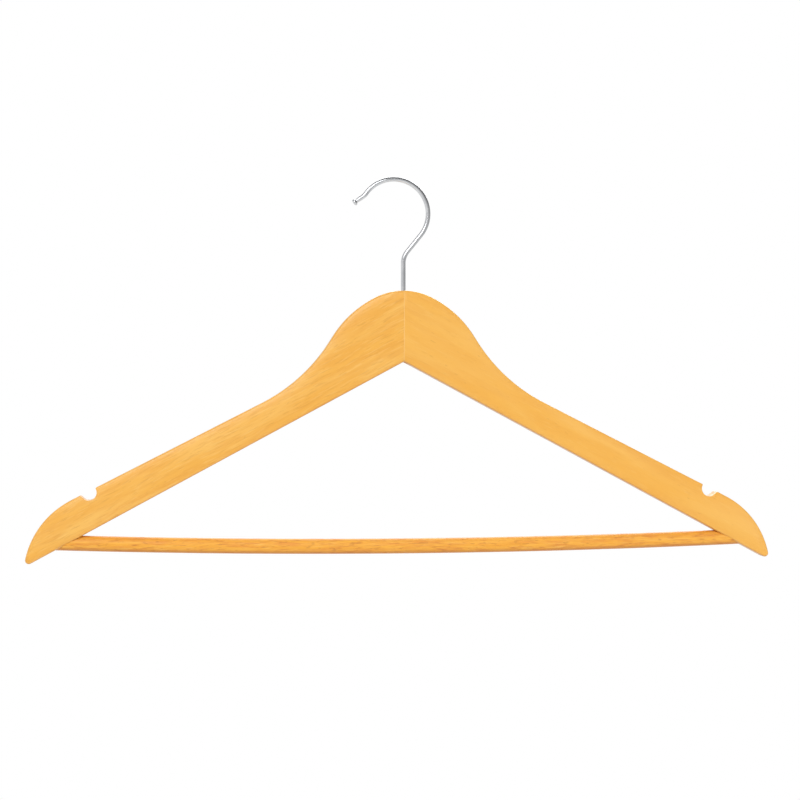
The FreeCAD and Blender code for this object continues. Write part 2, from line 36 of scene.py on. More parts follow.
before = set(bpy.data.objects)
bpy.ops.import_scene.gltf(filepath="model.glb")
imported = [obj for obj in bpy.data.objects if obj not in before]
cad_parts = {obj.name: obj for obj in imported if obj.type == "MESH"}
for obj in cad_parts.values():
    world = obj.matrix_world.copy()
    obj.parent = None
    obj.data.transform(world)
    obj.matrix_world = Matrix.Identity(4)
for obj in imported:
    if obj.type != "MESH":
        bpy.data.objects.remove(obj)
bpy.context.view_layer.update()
mm = 0.001
mergeGap = 0.0005 * mm          # closer points of a finished mesh become one
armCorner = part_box("right_arm")[1]
crownTop = armCorner.z
spanHalf = armCorner.x / mm
boardHalf = armCorner.y / mm
print("frame loaded")


# small helpers that every piece uses

def toLinear(hexColour):
    channels = [int(hexColour[n:n + 2], 16) / 255 for n in (1, 3, 5)]
    return tuple(c / 12.92 if c <= 0.04045 else ((c + 0.055) / 1.055) ** 2.4 for c in channels) + (1.0,)


def addNode(tree, kind, settings=None, **inputs):
    # a node with its settings; an input takes a value or another node's output, spaces written as _
    node = tree.nodes.new(kind)
    for name, value in (settings or {}).items():
        setattr(node, name, value)
    for name, value in inputs.items():
        key = int(name[1:]) if name[0] == "n" and name[1:].isdigit() else name.replace("_", " ")
        if isinstance(value, bpy.types.NodeSocket):
            tree.links.new(value, node.inputs[key])
        else:
            node.inputs[key].default_value = value
    return node


def numbered(values):
    return {"n%d" % n: value for n, value in enumerate(values)}


def doMath(tree, operation, *values):
    return addNode(tree, "ShaderNodeMath", {"operation": operation}, **numbered(values))


def doVector(tree, operation, *values):
    return addNode(tree, "ShaderNodeVectorMath", {"operation": operation}, **numbered(values))


def softStep(tree, *values):
    # value, from, to; then the two results if they aren't 0 and 1
    return addNode(tree, "ShaderNodeMapRange", {"interpolation_type": "SMOOTHSTEP"}, **numbered(values))


def setRamp(node, stops):
    # gives a ramp its greys, from 0 to 1
    marks = node.color_ramp.elements
    for place, grey in stops:
        mark = marks.new(place) if 0 < place < 1 else marks[-int(place)]
        mark.color = (grey, grey, grey, 1)


def newMaterial(name):
    # a node material with its output node, and the tree to fill
    material = bpy.data.materials.new(name)
    material.use_nodes = True
    material.node_tree.nodes.clear()
    return material, material.node_tree


def newObject(name, mesh):
    item = bpy.data.objects.new(name, mesh)
    bpy.context.scene.collection.objects.link(item)
    return item


def meshObject(name, shape):
    # a finished bmesh as an object
    mesh = bpy.data.meshes.new(name)
    shape.to_mesh(mesh)
    shape.free()
    return newObject(name, mesh)


def dropObject(item):
    data = item.data
    bpy.data.objects.remove(item)
    if isinstance(data, bpy.types.Mesh):
        bpy.data.meshes.remove(data)
    else:
        bpy.data.curves.remove(data)


def plainMesh(item, name, sharpAngle):
    # what the live modifiers make, as a new mesh object with its own normals
    view = bpy.context.evaluated_depsgraph_get()
    mesh = bpy.data.meshes.new_from_object(item.evaluated_get(view))
    mesh.name = name
    shape = bmesh.new()
    shape.from_mesh(mesh)
    bmesh.ops.remove_doubles(shape, verts=shape.verts, dist=mergeGap)
    bmesh.ops.dissolve_degenerate(shape, edges=shape.edges, dist=mergeGap)
    bmesh.ops.triangulate(shape, faces=[f for f in shape.faces if len(f.verts) > 4])
    bmesh.ops.recalc_face_normals(shape, faces=shape.faces)
    shape.to_mesh(mesh)
    shape.free()
    mesh.shade_smooth()
    mesh.set_sharp_from_angle(angle=math.radians(sharpAngle))
    return newObject(name, mesh)


def makeTree(name, sizes):
    # an empty geometry tree whose named inputs are the sizes
    tree = bpy.data.node_groups.new(name, "GeometryNodeTree")
    tree.interface.new_socket("Geometry", in_out="INPUT", socket_type="NodeSocketGeometry")
    for label, value in sizes.items():
        kind = {int: "NodeSocketInt", float: "NodeSocketFloat"}.get(type(value), "NodeSocketMaterial")
        tree.interface.new_socket(label, in_out="INPUT", socket_type=kind)
    tree.interface.new_socket("Geometry", in_out="OUTPUT", socket_type="NodeSocketGeometry")
    return tree


def growTree(item, tree, sizes):
    # hangs the tree on an object and sets its inputs by their identifiers
    modifier = item.modifiers.new(tree.name, "NODES")
    modifier.node_group = tree
    for socket in tree.interface.items_tree:
        if socket.in_out == "INPUT" and socket.name in sizes:
            modifier[socket.identifier] = sizes[socket.name]


def setCurve(node, points):
    # sets a curve node's graph to a smooth line through points
    graph = node.mapping.curves[0].points
    while len(graph) < len(points):
        graph.new(0.5, 0.5)
    for spot, (x, y) in zip(graph, points):
        spot.location = (x, y)
        spot.handle_type = "AUTO_CLAMPED"
    node.mapping.update()


def turnShape(tree, start, label, ends, count, graph):
    # a shape turned about the line between two ends; its outline is a graph of radius
    line = addNode(tree, "GeometryNodeCurvePrimitiveLine", Start=ends[0], End=ends[1])
    fine = addNode(tree, "GeometryNodeResampleCurve", Curve=line.outputs[0], Count=count)
    factor = addNode(tree, "GeometryNodeSplineParameter").outputs["Factor"]
    outline = addNode(tree, "ShaderNodeFloatCurve", Value=factor)
    setCurve(outline, graph)
    ring = addNode(tree, "GeometryNodeCurvePrimitiveCircle", Resolution=start["Sides"],
                   Radius=start[label + " Radius"])
    return addNode(tree, "GeometryNodeCurveToMesh", n0=fine.outputs[0], n1=ring.outputs[0],
                   n2=outline.outputs[0], n3=True)


def endTree(tree, start, geometry):
    real = addNode(tree, "GeometryNodeRealizeInstances", Geometry=geometry)
    painted = addNode(tree, "GeometryNodeSetMaterial", Geometry=real.outputs[0], Material=start["Finish"])
    addNode(tree, "NodeGroupOutput", n0=painted.outputs[0])
    return tree


# woods, lacquers and metals

def makeWood(name, wood):
    # lacquered hardwood: growth rings round a pith line, a soft figure, open pores and a clear coat
    material, tree = newMaterial(name)
    coords = addNode(tree, "ShaderNodeTexCoord")
    grain = addNode(tree, "ShaderNodeMapping", Vector=coords.outputs["Object"],
                    Location=wood["shift"], Rotation=(0, math.radians(wood["slope"]), 0))
    bend = addNode(tree, "ShaderNodeTexNoise", Scale=1 / wood["bendSize"], Detail=2.0,
                   Vector=grain.outputs[0])
    bendFrom = doVector(tree, "SUBTRACT", bend.outputs["Color"], (0.5, 0.5, 0.5))
    bent = doVector(tree, "MULTIPLY_ADD", bendFrom.outputs[0], (0, wood["bendDepth"], wood["bendDepth"]),
                    grain.outputs[0])

    # every layer is a noise stretched along the grain, turned into a 0 to 1 mask
    masks = {}
    for label, layer in wood["layers"].items():
        along, across, detail, low, high = layer
        stretch = doVector(tree, "MULTIPLY", bent.outputs[0], (1 / along, 1 / across, 1 / across))
        noise = addNode(tree, "ShaderNodeTexNoise", Scale=1.0, Detail=detail, Vector=stretch.outputs[0])
        mask = softStep(tree, noise.outputs["Fac"], low, high)
        masks[label] = mask.outputs[0]

    # growth rings: distance from the pith, wavy along the trunk
    pith = doVector(tree, "MULTIPLY_ADD", bent.outputs[0], (wood["trunkTaper"], 1, 1), wood["pith"])
    radius = doVector(tree, "LENGTH", pith.outputs[0])
    wavy = doMath(tree, "MULTIPLY_ADD", masks["wave"], wood["waveDepth"], radius.outputs["Value"])
    count = doMath(tree, "DIVIDE", wavy.outputs[0], wood["ringWidth"])
    year = doMath(tree, "FRACT", count.outputs[0])
    ring = addNode(tree, "ShaderNodeValToRGB", n0=year.outputs[0])
    ring.color_ramp.interpolation = "EASE"
    setRamp(ring, ((0, 0), (wood["ringPeak"], 1), (wood["ringEnd"], 0), (1, 0)))

    # a pale line of glue shows where the two boards meet, at X = 0
    spot = addNode(tree, "ShaderNodeSeparateXYZ", Vector=coords.outputs["Object"])
    fromJoint = doMath(tree, "ABSOLUTE", spot.outputs["X"])
    joint = softStep(tree, fromJoint.outputs[0], 0.0, wood["glueHalf"], 1.0, 0.0)
    # painted shade: surfaces that face downwards are darkened, standing in for the shade that falls under
    # them
    facing = addNode(tree, "ShaderNodeNewGeometry")
    upward = addNode(tree, "ShaderNodeSeparateXYZ", Vector=facing.outputs["Normal"])
    drained = softStep(tree, upward.outputs["Z"], *wood["drainedSlopes"])
    masks.update(ring=ring.outputs["Color"], drained=drained.outputs[0], glue=joint.outputs[0])
    # each colour lies over the ones before it, through its mask
    colour = toLinear(wood["base"])
    for label, hexColour in wood["colours"].items():
        share = doMath(tree, "MULTIPLY", masks[label], wood["amounts"][label])
        mixed = addNode(tree, "ShaderNodeMix", {"data_type": "RGBA"}, n0=share.outputs[0], n6=colour,
                        n7=toLinear(hexColour))
        colour = mixed.outputs[2]

    rough = addNode(tree, "ShaderNodeMapRange", n0=masks["pores"], n3=wood["roughness"][0],
                    n4=wood["roughness"][1])
    relief = doMath(tree, "MULTIPLY_ADD", masks["flecks"], wood["fleckRelief"], masks["pores"])
    bump = addNode(tree, "ShaderNodeBump", {"invert": True}, Strength=wood["reliefStrength"],
                   Distance=wood["reliefDepth"], Height=relief.outputs[0])
    # the lacquer makes the shine, so the wood under it has little of its own
    shader = addNode(tree, "ShaderNodeBsdfPrincipled", Base_Color=colour, Roughness=rough.outputs[0],
                     Normal=bump.outputs[0], IOR=1.5, Specular_IOR_Level=wood["ownShine"],
                     Coat_Weight=wood["coat"], Coat_Roughness=wood["coatRoughness"], Coat_IOR=1.5)
    addNode(tree, "ShaderNodeOutputMaterial", Surface=shader.outputs[0])
    return material


# Beech board under clear lacquer, machined and sanded: warm honey colour with a soft sheen.
# Each half is its own board, so the figure changes at the joint.
boardWood = {
    "base": "#F4B347",
    # the colour for surfaces that face down darkens them as painted shade
    "colours": {"tone": "#F9C263", "ring": "#EDA63C", "figure": "#E9A03A", "silk": "#FDD07C",
                "pores": "#D18B34", "flecks": "#BC7728", "drained": "#A85C2A", "glue": "#FFDD9C"},
    "glueHalf": 0.35 * mm,
    "drainedSlopes": (-0.4, -0.85),     # how far down a surface faces where darkening starts and ends
    "bendSize": 70 * mm,
    "bendDepth": 5 * mm,
    "trunkTaper": 0.012,
    "ringWidth": 5.5 * mm,
    "ringPeak": 0.82,                   # latewood is darkest here and ends soon after
    "ringEnd": 0.97,
    "waveDepth": 7 * mm,
    "roughness": (0.42, 0.6),
    "fleckRelief": 0.4,
    "reliefStrength": 0.35,
    "reliefDepth": 0.04 * mm,
    "ownShine": 0.2,
    "coat": 0.9,
    "coatRoughness": 0.3,
}
figuredBoard = dict(
    boardWood, slope=27.6, shift=(0.013, 0.021, 0.034), pith=(0, 0.030, 0.006),
    # along, across, detail, mask from, mask to; lengths are real fibre, pore and figure sizes
    layers={"wave": (90 * mm, 14 * mm, 2.0, 0.2, 0.8), "tone": (60 * mm, 9 * mm, 2.0, 0.35, 0.7),
            "figure": (30 * mm, 3.2 * mm, 3.0, 0.48, 0.72), "silk": (11 * mm, 0.9 * mm, 2.0, 0.52, 0.68),
            "pores": (9 * mm, 0.8 * mm, 2.0, 0.53, 0.7), "flecks": (6 * mm, 1.0 * mm, 2.0, 0.66, 0.76)},
    # the amount for surfaces that face down sets how strong the painted shade is
    amounts={"tone": 0.7, "ring": 0.35, "figure": 0.36, "silk": 0.25, "pores": 0.28, "flecks": 0.25,
             "drained": 0.45, "glue": 0.35})
quietBoard = dict(
    boardWood, slope=-27.6, shift=(0.171, 0.043, 0.095), pith=(0, 0.055, -0.012),
    layers={"wave": (120 * mm, 18 * mm, 2.0, 0.2, 0.8), "tone": (70 * mm, 12 * mm, 2.0, 0.35, 0.7),
            "figure": (45 * mm, 5 * mm, 2.0, 0.5, 0.75), "silk": (9 * mm, 0.8 * mm, 2.0, 0.56, 0.72),
            "pores": (7 * mm, 0.7 * mm, 2.0, 0.58, 0.76), "flecks": (5 * mm, 1.0 * mm, 2.0, 0.68, 0.78)},
    amounts={"tone": 0.5, "ring": 0.25, "figure": 0.25, "silk": 0.15, "pores": 0.15, "flecks": 0.25,
             "drained": 0.45, "glue": 0.35})
# Turned dowel of a coarser hardwood: torn, open grain that the lacquer darkens.
dowelStock = dict(
    boardWood, slope=0.0, shift=(0.31, 0.0, 0.012), pith=(0, 0.012, 0.02), base="#F6AF3F",
    colours=dict(boardWood["colours"], tone="#FBBD53", ring="#EA9A38", figure="#E38C3C", silk="#FEC96C",
                 pores="#D27E3A", flecks="#B0622E"),
    layers={"wave": (60 * mm, 7 * mm, 2.0, 0.2, 0.8), "tone": (35 * mm, 4 * mm, 2.0, 0.35, 0.7),
            "figure": (18 * mm, 1.8 * mm, 3.0, 0.47, 0.68), "silk": (10 * mm, 1.0 * mm, 2.0, 0.55, 0.7),
            "pores": (8 * mm, 0.8 * mm, 3.0, 0.52, 0.66), "flecks": (5.5 * mm, 1.1 * mm, 2.0, 0.6, 0.7)},
    amounts={"tone": 0.5, "ring": 0.35, "figure": 0.55, "silk": 0.3, "pores": 0.5, "flecks": 0.4,
             "drained": 0.5, "glue": 0.0},
    ringWidth=3 * mm, waveDepth=4 * mm, reliefStrength=0.4, reliefDepth=0.05 * mm, coat=0.3,
    coatRoughness=0.5)


def makeMetal(name, metal):
    # plated steel: a slow haze, and fine marks or crystals that change the gloss
    material, tree = newMaterial(name)
    coords = addNode(tree, "ShaderNodeTexCoord")
    haze = addNode(tree, "ShaderNodeTexNoise", Vector=coords.outputs["Object"],
                   Scale=1 / metal["hazeSize"], Detail=3.0)
    kind, output = ("Voronoi", "Color") if metal["crystals"] else ("Noise", "Fac")
    marks = addNode(tree, "ShaderNodeTex" + kind, Vector=coords.outputs["Object"],
                    Scale=1 / metal["markSize"])
    greyness = marks.outputs[output]
    if metal["crystals"]:
        greyness = addNode(tree, "ShaderNodeSeparateColor", Color=greyness).outputs[0]
    both = doMath(tree, "MULTIPLY_ADD", greyness, metal["markShare"], haze.outputs["Fac"])
    tone = addNode(tree, "ShaderNodeMapRange", n0=both.outputs[0], n1=metal["hazeFrom"],
                   n2=1 - metal["hazeFrom"] + metal["markShare"])
    colour = addNode(tree, "ShaderNodeMix", {"data_type": "RGBA"}, n0=tone.outputs[0],
                     n6=toLinear(metal["dark"]), n7=toLinear(metal["light"]))
    rough = addNode(tree, "ShaderNodeMapRange", n0=tone.outputs[0], n3=metal["roughness"][0],
                    n4=metal["roughness"][1])
    bump = addNode(tree, "ShaderNodeBump", Strength=metal["reliefStrength"],
                   Distance=metal["reliefDepth"], Height=greyness)
    shader = addNode(tree, "ShaderNodeBsdfPrincipled", Base_Color=colour.outputs[2], Metallic=1.0,
                     Roughness=rough.outputs[0], Normal=bump.outputs[0])
    addNode(tree, "ShaderNodeOutputMaterial", Surface=shader.outputs[0])
    return material


# Drawn steel wire, bright chrome plated: a clear mirror with a faint haze from handling.
chromedWire = {"dark": "#C9CBCE", "light": "#DEDFE1", "hazeSize": 9 * mm, "markSize": 0.8 * mm,
               "crystals": False, "markShare": 0.1, "hazeFrom": 0.35, "roughness": (0.18, 0.26),
               "reliefStrength": 0.01, "reliefDepth": 0.01 * mm}
# Zinc plated steel, passivated: dull grey with small crystals.
zincPlate = {"dark": "#8E9196", "light": "#BFC1C4", "hazeSize": 3 * mm, "markSize": 0.35 * mm,
             "crystals": True, "markShare": 0.5, "hazeFrom": 0.35, "roughness": (0.3, 0.5),
             "reliefStrength": 0.2, "reliefDepth": 0.01 * mm}

figuredWood = makeWood("lacquered beech board, figured half", figuredBoard)
quietWood = makeWood("lacquered beech board, quiet half", quietBoard)
dowelWood = makeWood("lacquered hardwood dowel", dowelStock)
chrome = makeMetal("chrome plated steel wire", chromedWire)
zinc = makeMetal("zinc plated steel", zincPlate)
print("materials made")


# the two wooden halves

armShape = {                    # millimetres and degrees, counted from the top of the crown
    "crownRadius": 37.5,        # round top of the crown
    "crownHalf": 17.0,          # where the crown hands over to the neck
    "neckRadius": 64.0,
    "flankAngle": 57.5,
    "sweepRadius": 102.5,       # hollow between neck and shoulder
    "edgeDrop": 23.8,
    "edgeAngle": 27.0,
    "underAngle": 28.3,
    "headHeight": 42.4,
    "endRadius": 50.0,
    "tipRadius": 2.2,
    "notchRadius": 4.6,
    "notchInset": 36.5,
    "notchSink": 0.65,
    "notchFlare": 70.0,
    "lipEase": 0.7,             # rounding of the notch's two lips
    "edgeRound": 1.2,           # rounding between the faces and the edges
    "notchRound": 0.5,          # the same inside the notch
    "crowning": 1.1,            # how far the faces fall towards the edges
    "crowningReach": 9.5,
    "combLength": 9.0,
    "combLayers": 5,
    "seamDepth": 0.06,          # hairline at the joint
    "seamHalf": 0.25,
    "boreRadius": 1.45,
    "seatRadius": 3.2,
    "seatDepth": 6.5,
    "barInset": 10.5,
    "barBow": 4.1,
    "barGap": 0.1,
    "socketEase": 0.35,         # the socket is drilled a little wide, which shows as a dark line
    "bradInset": 19.5,
    "bradRadius": 0.63,
    "bradHeadRadius": 1.03,
    "bradHeadDepth": 0.6,
    "crownStep": 1.5,           # from here on, how finely the half is meshed
    "neckStep": 1.8,
    "edgeStep": 2.2,
    "tipStep": 0.35,
    "notchStep": 0.7,
    "flareStep": 0.8,
    "pointGap": 0.02,           # closer points become one
    "weldGap": 0.002,
    "notchBlend": 6.0,          # over this distance the notch's rounding becomes the edge's
    "roundSteps": 7,
    "rimDepths": (3.0, 4.4, 6.2, 8.2),
    "rimShare": 0.93,           # a rim point that lies shallower than this share is left out
    "rimApart": 1.1,
    "rimCompared": 60,
    "gridStep": 2.6,
    "gridDepth": 9.6,
    "gridLowest": -170.0,
    "seamStep": 2.0,
    "seamClear": 0.9,           # no other point lies this near to the hairline
    "seamAbove": 2.9,
    "seamBelow": 2.6,
    "cutBelow": 70.0,           # how far the cutting shapes reach past the wood
    "cutAbove": 9.0,
    "cutAcross": 30.0,
    "cutSkin": 3.0,
    "cutProud": 2.0,
    "socketFrom": 120.0,
    "socketSteps": 6,
}
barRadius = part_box("trouser_bar")[1].y / mm


def arcPoints(centre, radius, start, end, spacing):
    # points of an arc from one direction to another, both ends included
    count = max(3, math.ceil(abs(math.radians(end - start)) * radius / spacing))
    turns = [math.radians(start + (end - start) * n / count) for n in range(count + 1)]
    return [(centre[0] + radius * math.cos(t), centre[1] + radius * math.sin(t)) for t in turns]


def linePoints(start, end, spacing):
    count = max(1, round(math.dist(start, end) / spacing))
    return [(start[0] + (end[0] - start[0]) * n / count, start[1] + (end[1] - start[1]) * n / count)
            for n in range(count + 1)]


def stepFrom(point, way, length):
    return point[0] + way[0] * length, point[1] + way[1] * length


def easedCorner(before, corner, after, steps=5):
    # a smooth turn from one point to another past a corner
    return [tuple((1 - t) ** 2 * a + 2 * t * (1 - t) * b + t ** 2 * c
                  for a, b, c in zip(before, corner, after))
            for t in (n / steps for n in range(steps + 1))]


def notchPath(shape, ease):
    # the notch's outline, from its inner lip to its outer lip
    slope = math.radians(shape["edgeAngle"])
    alongEdge = (math.cos(slope), -math.sin(slope))
    outward = (math.sin(slope), math.cos(slope))
    middleX = spanHalf - shape["notchInset"]
    middle = (middleX, -shape["edgeDrop"] - middleX * math.tan(slope))

    radius, sink = shape["notchRadius"], shape["notchSink"]
    flare = math.radians(shape["notchFlare"])
    innerAngle = 180 - math.degrees(math.asin(sink / radius))
    easeAngle = math.degrees(ease / radius)
    innerLip = -math.sqrt(radius ** 2 - sink ** 2)
    foot = (radius * math.sin(flare), -sink - radius * math.cos(flare))
    outerLip = foot[0] - foot[1] / math.tan(flare)
    bottom = arcPoints((0, -sink), radius, innerAngle + easeAngle, 270 + shape["notchFlare"],
                       shape["notchStep"])
    outerEased = (outerLip - ease * math.cos(flare), -ease * math.sin(flare))
    local = easedCorner((innerLip - ease, 0), (innerLip, 0), bottom[0])[:-1]
    local += bottom[:-1] + linePoints(foot, outerEased, shape["flareStep"])[:-1]
    local += easedCorner(outerEased, (outerLip, 0), (outerLip + ease, 0))
    return [stepFrom(stepFrom(middle, alongEdge, u), outward, v) for u, v in local]


def armOutline(shape, reach, notch):
    # one half's outline, right-hand side, clockwise from the joint over the top to the underside
    crown, neck = shape["crownRadius"], shape["neckRadius"]
    flank, edge, under = [math.radians(shape[key]) for key in ("flankAngle", "edgeAngle", "underAngle")]
    handover = math.asin(shape["crownHalf"] / crown)
    neckCentre = ((crown - neck) * math.sin(handover), (crown - neck) * math.cos(handover) - crown)
    flankWay, flankOut = (math.cos(flank), -math.sin(flank)), (math.sin(flank), math.cos(flank))
    edgeWay, edgeOut = (math.cos(edge), -math.sin(edge)), (math.sin(edge), math.cos(edge))
    neckEnd = stepFrom(neckCentre, flankOut, neck)
    sweep = shape["sweepRadius"]
    swept = stepFrom(neckEnd, flankOut, sweep)
    rise = swept[0] * edgeOut[0] + (swept[1] + shape["edgeDrop"]) * edgeOut[1]
    flankLength = (sweep - rise) / (flankWay[0] * edgeOut[0] + flankWay[1] * edgeOut[1])
    sweepCentre = stepFrom(stepFrom(neckEnd, flankWay, flankLength), flankOut, sweep)
    tip, end = shape["tipRadius"], shape["endRadius"]
    tipCentre = (spanHalf - tip, tip / math.cos(under) - shape["headHeight"]
                 - (spanHalf - tip) * math.tan(under))
    foot = stepFrom((0, -shape["edgeDrop"]), edgeOut, -end)
    toTip = (tipCentre[0] - foot[0], tipCentre[1] - foot[1])
    aside = toTip[0] * edgeOut[0] + toTip[1] * edgeOut[1]
    slide = toTip[0] * edgeWay[0] + toTip[1] * edgeWay[1] - math.sqrt((end - tip) ** 2 - aside ** 2)
    endCentre = stepFrom(foot, edgeWay, slide)
    tipWay = math.degrees(math.atan2(tipCentre[1] - endCentre[1], tipCentre[0] - endCentre[0]))
    apex = (0, -shape["headHeight"])
    sweepEnd = stepFrom(sweepCentre, edgeOut, -sweep)
    endStart = stepFrom(endCentre, edgeOut, end)
    tipEnd = stepFrom(tipCentre, (math.sin(under), math.cos(under)), -tip)

    crownStep, neckStep, edgeStep = shape["crownStep"], shape["neckStep"], shape["edgeStep"]
    pieces = [arcPoints((0, -crown), crown, 90, 90 - math.degrees(handover), crownStep),
              arcPoints(neckCentre, neck, 90 - math.degrees(handover), 90 - shape["flankAngle"], neckStep),
              arcPoints(sweepCentre, sweep, 270 - shape["flankAngle"], 270 - shape["edgeAngle"], edgeStep)]
    if notch:
        path = notchPath(shape, shape["lipEase"])
        pieces += [linePoints(sweepEnd, path[0], edgeStep), path, linePoints(path[-1], endStart, crownStep)]
    else:
        pieces += [linePoints(sweepEnd, endStart, edgeStep)]
    pieces += [arcPoints(endCentre, end, 90 - shape["edgeAngle"], tipWay, neckStep),
               arcPoints(tipCentre, tip, tipWay, -90 - shape["underAngle"], shape["tipStep"]),
               linePoints(tipEnd, apex, edgeStep)]
    if reach:
        past = 90 + math.degrees(math.asin(reach / crown))
        pieces.insert(0, arcPoints((0, -crown), crown, past, 90, crownStep))
        pieces.append(linePoints(apex, (-reach, apex[1] - reach * math.tan(under)), crownStep))
    outline = []
    for point in sum(pieces, []):
        if not outline or math.dist(point, outline[-1]) > shape["pointGap"]:
            outline.append(point)
    return numpy.array(outline)


def mitres(outline):
    # for each point, the step that moves both neighbouring sides out by one
    sides = numpy.diff(outline, axis=0)
    normals = numpy.stack([-sides[:, 1], sides[:, 0]], 1)
    normals /= numpy.linalg.norm(normals, axis=1)[:, None]
    inner = normals[:-1] + normals[1:]
    inner /= (1 + (normals[:-1] * normals[1:]).sum(1))[:, None]
    first = numpy.array([[0, 1 / normals[0, 1]]])      # the ends slide along the joint
    last = numpy.array([[0, 1 / normals[-1, 1]]])
    return numpy.concatenate([first, inner, last])


def distanceTo(points, outline):
    # each point's distance to the outline
    starts, ends = outline[:-1], outline[1:]
    along = ends - starts
    offset = points[:, None, :] - starts[None]
    share = numpy.clip((offset * along).sum(2) / (along ** 2).sum(1), 0, 1)
    return numpy.linalg.norm(offset - share[..., None] * along, axis=2).min(1)


def isInside(points, loop):
    # which points lie within the closed loop
    inside = numpy.zeros(len(points), bool)
    for (x1, z1), (x2, z2) in zip(loop, numpy.roll(loop, -1, axis=0)):
        if z1 == z2:
            continue
        crosses = (z1 > points[:, 1]) != (z2 > points[:, 1])
        inside ^= crosses & (points[:, 0] < (x2 - x1) * (points[:, 1] - z1) / (z2 - z1) + x1)
    return inside


def armMesh(shape, name, reach):
    # rounded rings round the outline, then a crowned face in front and behind
    outline = armOutline(shape, reach, True)
    plain = armOutline(shape, reach, False)
    steps = mitres(outline)
    # the edges are rounded less inside the notch
    fromNotch = distanceTo(outline, numpy.array(notchPath(shape, shape["lipEase"])))
    ramp = numpy.clip(fromNotch / shape["notchBlend"], 0, 1)
    rounding = shape["notchRound"] + (shape["edgeRound"] - shape["notchRound"]) * ramp ** 2 * (3 - 2 * ramp)

    def faceHeight(points):
        # the crowned face's height, with the hairline along the joint
        fall = numpy.clip(1 - distanceTo(points, plain) / shape["crowningReach"], 0, 1) ** 2
        seam = numpy.clip(1 - points[:, 0] / shape["seamHalf"], 0, 1)
        return boardHalf - shape["crowning"] * fall - shape["seamDepth"] * seam

    rings, heights = [], []
    for n in range(shape["roundSteps"] + 1):
        turn = math.pi / 2 * n / shape["roundSteps"]
        ring = outline - steps * (rounding * (1 - math.cos(turn)))[:, None]
        rings.append(ring)
        heights.append(faceHeight(ring) - rounding * (1 - math.sin(turn)))

    # inner points follow the edge at growing distances, then fill the rest
    rim = rings[-1]
    seamLine = linePoints(tuple(rim[-1]), tuple(rim[0]), shape["seamStep"])[1:-1]
    loop = numpy.concatenate([rim, numpy.array(seamLine)])
    chosen = []
    for depth in shape["rimDepths"]:
        near = outline[::2] - steps[::2] * depth
        good = isInside(near, loop) & (distanceTo(near, outline) > depth * shape["rimShare"])
        for point in near[good]:
            recent = chosen[-shape["rimCompared"]:]
            if all(math.dist(point, other) > shape["rimApart"] for other in recent):
                chosen.append(tuple(point))
    xs, zs = numpy.meshgrid(numpy.arange(-reach, spanHalf, shape["gridStep"]),
                            numpy.arange(shape["gridLowest"], 0, shape["gridStep"]))
    grid = numpy.stack([xs.ravel(), zs.ravel()], 1)
    grid = grid[isInside(grid, loop)]
    grid = grid[distanceTo(grid, outline) > shape["gridDepth"]]
    chosen += [tuple(point) for point in grid]
    # rows of points keep the hairline straight
    seamPlaces = (0.0, shape["seamHalf"]) if reach else (shape["seamHalf"],)
    inner = [point for point in chosen if all(abs(point[0] - x) > shape["seamClear"] for x in seamPlaces)]
    for x in seamPlaces:
        inner += linePoints((x, shape["seamAbove"] - shape["headHeight"]), (x, -shape["seamBelow"]),
                            shape["seamStep"])
    flat = [Vector(point) for point in loop] + [Vector(point) for point in inner]
    triangles = delaunay_2d_cdt(flat, [], [list(range(len(loop)))], 1, 1e-5)
    facePoints = numpy.array([tuple(v) for v in triangles[0]])
    faceY = faceHeight(facePoints)

    shapeMesh = bmesh.new()

    def put(x, y, z):
        return shapeMesh.verts.new((x * mm, y * mm, z * mm + crownTop))

    sideRings = {}
    for side in (-1, 1):
        sideRings[side] = [[put(p[0], side * h, p[1]) for p, h in zip(ring, height)]
                           for ring, height in zip(rings, heights)]
    columns = sideRings[-1][::-1] + sideRings[1]       # front face's rim to the back face's rim
    for upper, lower in zip(columns, columns[1:]):
        for n in range(len(outline) - 1):
            shapeMesh.faces.new((upper[n], upper[n + 1], lower[n + 1], lower[n]))
    for side in (-1, 1):
        verts = [put(p[0], side * y, p[1]) for p, y in zip(facePoints, faceY)]
        for triangle in triangles[2]:
            shapeMesh.faces.new([verts[i] for i in (triangle if side == 1 else triangle[::-1])])
    bmesh.ops.remove_doubles(shapeMesh, verts=shapeMesh.verts, dist=shape["weldGap"] * mm)
    # the butt face closes the joint's end
    buttEdges = [edge for edge in shapeMesh.edges if edge.is_boundary]
    bmesh.ops.contextual_create(shapeMesh, geom=buttEdges)
    bmesh.ops.recalc_face_normals(shapeMesh, faces=shapeMesh.faces)
    return meshObject(name, shapeMesh)


def boxCutter(low, high):
    shape = bmesh.new()
    bmesh.ops.create_cube(shape, size=1)
    size = [b - a for a, b in zip(low, high)]
    middle = [(a + b) / 2 for a, b in zip(low, high)]
    shape.transform(Matrix.Translation(Vector(middle) * mm) @ Matrix.Diagonal((*[s * mm for s in size], 1)))
    return meshObject("cutter", shape)


def tubeCutter(path, radius, segments=32):
    # a capped tube along points in the XZ plane or straight along any axis
    shape = bmesh.new()
    angles = [2 * math.pi * k / segments for k in range(segments)]
    spokes = [Vector((radius * math.cos(a), radius * math.sin(a), 0)) for a in angles]
    loops = []
    for n, point in enumerate(path):
        before, after = Vector(path[max(n - 1, 0)]), Vector(path[min(n + 1, len(path) - 1)])
        turn = (after - before).to_track_quat("Z", "Y")
        loops.append([shape.verts.new((Vector(point) + turn @ spoke) * mm) for spoke in spokes])
    for first, second in zip(loops, loops[1:]):
        for k in range(segments):
            shape.faces.new((first[k], first[(k + 1) % segments], second[(k + 1) % segments], second[k]))
    shape.faces.new(loops[0][::-1])
    shape.faces.new(loops[-1])
    return meshObject("cutter", shape)


